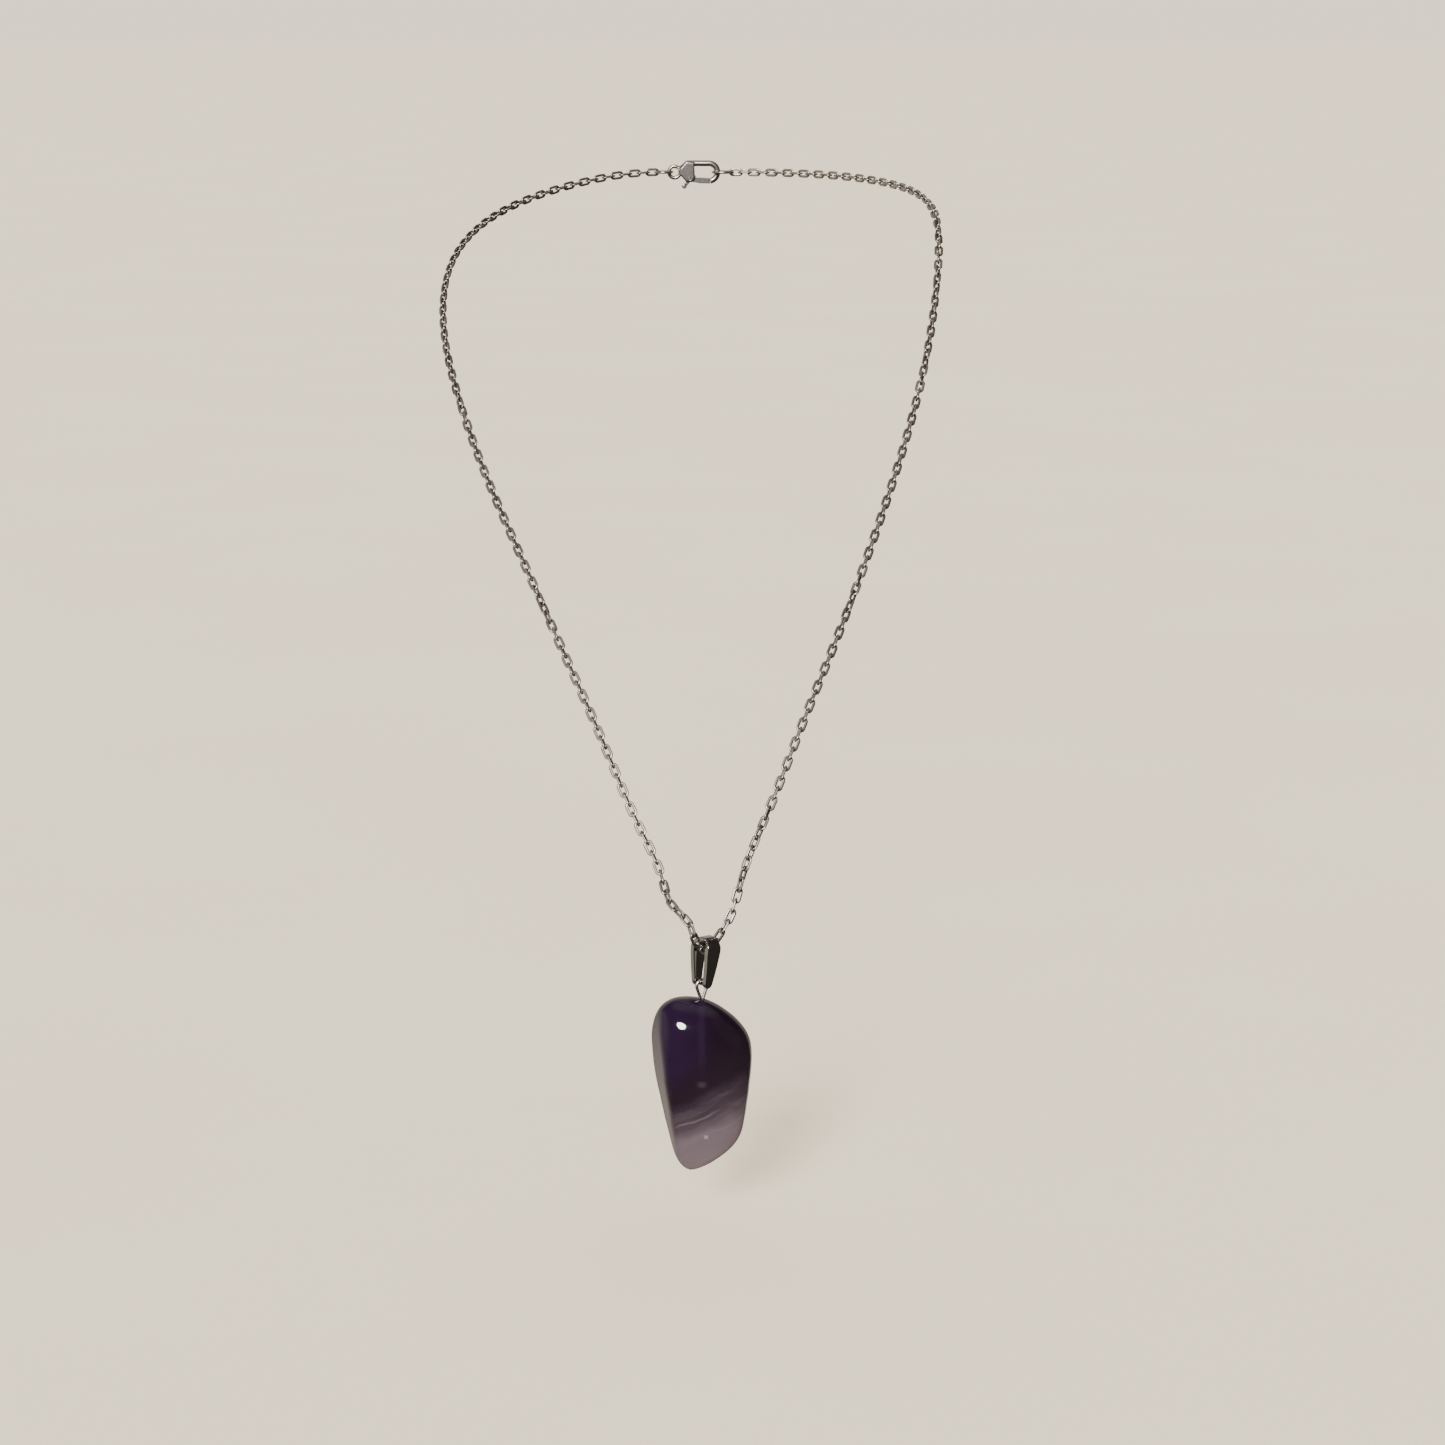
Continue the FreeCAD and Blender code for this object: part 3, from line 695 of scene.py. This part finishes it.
# ---------------------------------------------------------------- stone
def sphere_grid(divisions):
    """Points and quads of a cube swollen to a sphere, with even spacing."""
    mesh = bmesh.new()
    bmesh.ops.create_cube(mesh, size=2)
    bmesh.ops.subdivide_edges(mesh, edges=mesh.edges[:], cuts=divisions - 1, use_grid_fill=True)
    points = np.array([tuple(v.co) for v in mesh.verts])
    faces = [tuple(v.index for v in f.verts) for f in mesh.faces]
    mesh.free()
    points = np.tan(points * math.pi / 4)
    return points / np.linalg.norm(points, axis=1)[:, None], faces


def neighbour_average(count, faces):
    """A function that gives each vertex the average of its neighbours' values."""
    pairs = set()
    for face in faces:
        for a, b in zip(face, face[1:] + face[:1]):
            pairs.add((min(a, b), max(a, b)))
    pairs = np.array(sorted(pairs))
    first = np.concatenate([pairs[:, 0], pairs[:, 1]])
    second = np.concatenate([pairs[:, 1], pairs[:, 0]])
    degree = np.bincount(first, minlength=count)[:, None]

    def average(values):
        total = np.zeros_like(values)
        np.add.at(total, first, values[second])
        return total / degree

    return average


def stone_surface():
    """The stone's outside, found by rays towards the centre of its CAD node.

    The drilled hole is left out of the target, and the points that fall on it are bridged.
    """
    mesh = frame["nodes"]["stone"].data
    vertices = [v.co / MM for v in mesh.vertices]

    def on_hole(v):
        aside = math.hypot(v.x - BAIL_PRONG[0], v.y - BAIL_PRONG[1])
        return aside < HOLE_RADIUS + 0.03 and v.z < HOLE_MOUTH

    polygons = [tuple(p.vertices) for p in mesh.polygons
                if not any(on_hole(vertices[i]) for i in p.vertices)]
    tree = BVHTree.FromPolygons(vertices, polygons)
    low, high = (np.array(corner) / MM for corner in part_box("stone"))
    centre, half = (low + high) / 2, (high - low) / 2
    directions, faces = sphere_grid(STONE_CUTS)
    points = np.zeros_like(directions)
    missing = np.zeros(len(points), bool)
    for k, direction in enumerate(directions * half):
        # a ray that misses, or that hits the far side, has gone through the hole's mouth
        start = Vector(centre + direction * 1.6)
        hit, _, _, _ = tree.ray_cast(start, Vector(-direction).normalized())
        missing[k] = hit is None or (hit - start).length > np.linalg.norm(direction) * 1.2
        points[k] = centre + direction * 0.9 if missing[k] else hit
    average = neighbour_average(len(points), faces)
    for _ in range(80):
        points[missing] = average(points)[missing]
    return points, faces, average


def tumbled(points):
    """The points with the shallow hollows and flats that tumbling leaves."""
    inward = points.mean(0) - points
    inward /= np.linalg.norm(inward, axis=1)[:, None]
    depth = np.array([noise.noise(Vector(p) * 0.17) + 0.35 * noise.noise(Vector(p) * 0.42)
                      for p in points])
    return points + inward * (0.13 * depth - 0.16)[:, None]


def left_facet(points):
    """A long flat bevel between the stone's front and left edge, and a mask of painted edge light,
    for background light seen in and through the thin edges.
    """
    x, y, z = points.T
    # the stone's left edge at each level
    levels = np.arange(z.min() + 0.4, z.max(), 0.8)
    left = [x[np.abs(z - level) < 0.8].min() for level in levels]
    edge = np.interp(z, levels, left)
    # how far each point stands past the bevel's plane, with a soft corner
    past = FACET_SLANT[0] * (x - edge) + FACET_SLANT[1] * (y - FACET_EDGE)
    over = 0.5 * (past + np.sqrt(past ** 2 + 0.08 ** 2))
    flat = points.copy()
    flat[:, :2] -= FACET_SLANT * over[:, None]
    # painted light: paler on the bevel, along the bottom edge and over the top left shoulder, where
    # background light shows in and through the thin edges
    bevel = np.clip((past + 0.22) / 0.50, 0, 1)
    bevel *= np.clip((flat[:, 0] - edge) / -3.4 + 1.35, 0, 1)
    bottom = np.clip((levels[0] + 1.6 - z) / 1.6, 0, 1)
    top = np.clip((z + 122.2) / 0.6, 0, 1) * np.clip((2.2 - x) / 2.5, 0, 1)
    top *= np.clip((y + 103.4) / 0.9, 0, 1)
    return flat, np.maximum(bevel, 0.6 * np.maximum(bottom, top))


def drill_cutter():
    """The drilled hole's cylinder, which stands out of the stone's top."""
    sides = 48
    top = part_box("stone")[1][2] / MM + 1.0
    circle = [on_circle(HOLE_RADIUS, 2 * math.pi * step / sides) for step in range(sides)]
    points = [(BAIL_PRONG[0] + x, BAIL_PRONG[1] + y, z)
              for z in (HOLE_BOTTOM + 0.02, top) for x, y in circle]
    faces = tube_faces(2, sides, False)
    faces += [tuple(range(sides))[::-1], tuple(range(sides, 2 * sides))]
    cutter = make_object("drill", points, faces, bpy.data.materials.new("drill"))
    return cutter


def apply_modifiers(made):
    """The evaluated mesh becomes the object's own."""
    graph = bpy.context.evaluated_depsgraph_get()
    mesh = bpy.data.meshes.new_from_object(made.evaluated_get(graph))
    made.modifiers.clear()
    made.data = mesh


def make_stone(material):
    """The nugget: smoothed, tumbled, bevelled on its left and drilled."""
    points, faces, average = stone_surface()
    for _ in range(4):
        points += 0.5 * (average(points) - points)
    points, painted_edge_light = left_facet(tumbled(points))
    made = make_object("stone_body", points, faces, material)
    # painted edge light: how much paler the material makes each point, for background light seen in
    # and through the bevel and edges
    add_attribute(made, "painted_edge_light", painted_edge_light)
    subdivide = made.modifiers.new("subdivide", "SUBSURF")
    subdivide.levels = subdivide.render_levels = 1
    drill = drill_cutter()
    cut = made.modifiers.new("drill", "BOOLEAN")
    cut.operation = "DIFFERENCE"
    cut.solver = "EXACT"
    cut.object = drill
    apply_modifiers(made)
    bpy.data.objects.remove(drill)
    stand_for(made, "stone")


# ---------------------------------------------------------------- clasp, from the CAD's own shapes
def wear(made, material):
    """The material in place of every other one."""
    made.data.materials.clear()
    made.data.materials.append(material)


def cast_from(node, name, material, voxel, rounds):
    """A CAD node's shape with its edges and joins softened, as a tumbled casting has them."""
    mesh = bpy.data.meshes.new(name)
    draft = bmesh.new()
    draft.from_mesh(frame["nodes"][node].data)
    bmesh.ops.remove_doubles(draft, verts=draft.verts[:], dist=0.002 * MM)
    draft.to_mesh(mesh)
    draft.free()
    made = bpy.data.objects.new(name, mesh)
    bpy.context.collection.objects.link(made)
    remesh = made.modifiers.new("remesh", "REMESH")
    remesh.mode = "VOXEL"
    remesh.voxel_size = voxel * MM
    remesh.use_smooth_shade = True
    soften = made.modifiers.new("soften", "SMOOTH")
    soften.factor = 0.5
    soften.iterations = rounds
    apply_modifiers(made)
    wear(made, material)
    made.data.polygons.foreach_set("use_smooth", [True] * len(made.data.polygons))
    stand_for(made, node)
    return made


def make_ring(node, name, seam_angle, material):
    """A wire ring with a seam where its ends meet."""
    low, high = (np.array(corner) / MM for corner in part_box(node))
    centre = (low + high) / 2
    radius = (high[0] - low[0] - RING_WIRE) / 2
    steps, sides = 160, 24
    angles = np.linspace(0, 2 * math.pi, steps, endpoint=False)
    path = np.stack([radius * np.cos(angles), radius * np.sin(angles)], 1)
    away = np.abs((angles - seam_angle + math.pi) % (2 * math.pi) - math.pi) * radius
    seam = RING_SEAM * RING_WIRE * np.exp(-(away / RING_SEAM_WIDTH) ** 2)
    points = wire_rings(path, RING_WIRE / 2 - seam, sides).reshape(-1, 3) + centre
    made = make_object(name, points, tube_faces(steps, sides, True), material)
    stand_for(made, node)


# ---------------------------------------------------------------- stage, light, camera
def make_floor():
    """A plain matte floor, wide enough to meet the backdrop far away."""
    paint = Paint("floor_matte")
    tone = paint.ramp(paint.noise(0.01), (0.3, (0.84, 0.74, 0.56)), (0.7, (0.87, 0.77, 0.59)))
    paint.set(Base_Color=tone, Roughness=0.95, Specular_IOR_Level=0.1,
              Emission_Color=(1.0, 0.86, 0.62), Emission_Strength=0.5)
    level = CAD_BOX[0].z / MM - FLOOR_GAP
    corners = [(x * FLOOR_HALF, y * FLOOR_HALF, level)
               for x, y in ((-1, -1), (1, -1), (1, 1), (-1, 1))]
    floor = make_object("floor", corners, [(0, 1, 2, 3)], paint.material, smooth=False)
    floor.visible_glossy = False


def aimed(name, towards, strength, spread, colour):
    """A distant lamp that shines in one direction and looks spread degrees wide."""
    lamp = bpy.data.lights.new(name, "SUN")
    lamp.energy, lamp.angle, lamp.color = strength, math.radians(spread), colour
    light = bpy.data.objects.new(name, lamp)
    light.rotation_euler = Vector(towards).to_track_quat("-Z", "Y").to_euler()
    bpy.context.collection.objects.link(light)
    return light


def make_lights():
    """A soft key from the upper left in front, and a broad soft light overhead."""
    aimed("key", KEY_TOWARDS, 3.8, 14, (1.0, 0.98, 0.95))
    top = aimed("top", (-0.1, -0.35, -1), 2.0, 80, (1.0, 0.97, 0.92))
    top.visible_glossy = False


def make_world():
    """A plain backdrop; shiny surfaces see a dark studio with pale lobes behind, left and above."""
    world = bpy.data.worlds.new("studio")
    bpy.context.scene.world = world
    world.use_nodes = True
    nodes = Nodes(world.node_tree)
    toward = nodes.add("ShaderNodeTexCoord").outputs["Generated"]
    tone = (0.045, 0.041, 0.037)
    for direction, start, stop, colour in WORLD_LOBES:
        along = nodes.vector_math("DOT_PRODUCT", toward, tuple(Vector(direction).normalized()))
        tone = nodes.mix(nodes.step(along, start, stop), tone, colour)
    seen = nodes.add("ShaderNodeLightPath").outputs["Is Camera Ray"]
    background = world.node_tree.nodes["Background"]
    nodes.put(background.inputs["Color"], nodes.mix(seen, tone, (1.55, 1.38, 1.06)))


def make_camera():
    """In front of the necklace and a little above it, tipped down."""
    data = bpy.data.cameras.new("camera")
    data.sensor_width = SENSOR_WIDTH
    data.lens = FOCAL_LENGTH
    data.clip_start, data.clip_end = 0.01, 100.0
    camera = bpy.data.objects.new("camera", data)
    camera.location = [c * MM for c in CAMERA_AT]
    camera.rotation_euler = Euler((math.radians(90 - CAMERA_PITCH), 0, 0))
    bpy.context.collection.objects.link(camera)
    bpy.context.scene.camera = camera


# ---------------------------------------------------------------- build
# name, colour, duller colour, roughness, depth of the scratches
METALS = [
    ("bail_steel", (0.56, 0.55, 0.52), (0.46, 0.45, 0.41), 0.05, 0.05),
    ("peg_silver", (0.88, 0.84, 0.83), (0.76, 0.70, 0.69), 0.26, 0.10),
    ("ring_steel", (0.66, 0.62, 0.58), (0.54, 0.49, 0.46), 0.28, 0.10),
    ("clasp_steel", (0.66, 0.63, 0.59), (0.54, 0.50, 0.47), 0.27, 0.12),
    ("spring_steel", (0.42, 0.41, 0.40), (0.30, 0.29, 0.27), 0.24, 0.25),
]
metal = {row[0]: polished_metal(*row).material for row in METALS}

make_chain(chain_steel())
make_bail(metal["bail_steel"])
make_eye_peg(metal["peg_silver"])
make_stone(amethyst())
make_ring("clasp_jump_ring", "jump_ring_wire", 0.6, metal["ring_steel"])
make_ring("end_ring", "end_ring_wire", 1.2, metal["ring_steel"])
cast_from("clasp_body", "clasp_body_casting", metal["clasp_steel"], 0.05, 10)
cast_from("clasp_lever", "clasp_lever_casting", metal["clasp_steel"], 0.04, 6)
spring = cast_from("clasp_spring", "clasp_spring_wire", metal["spring_steel"], 0.03, 3)
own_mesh(spring)
wear(frame["nodes"]["clasp_rivet"], metal["clasp_steel"])
wear(frame["nodes"]["peg_adhesive"], clear_adhesive())

make_floor()
make_lights()
make_world()
make_camera()
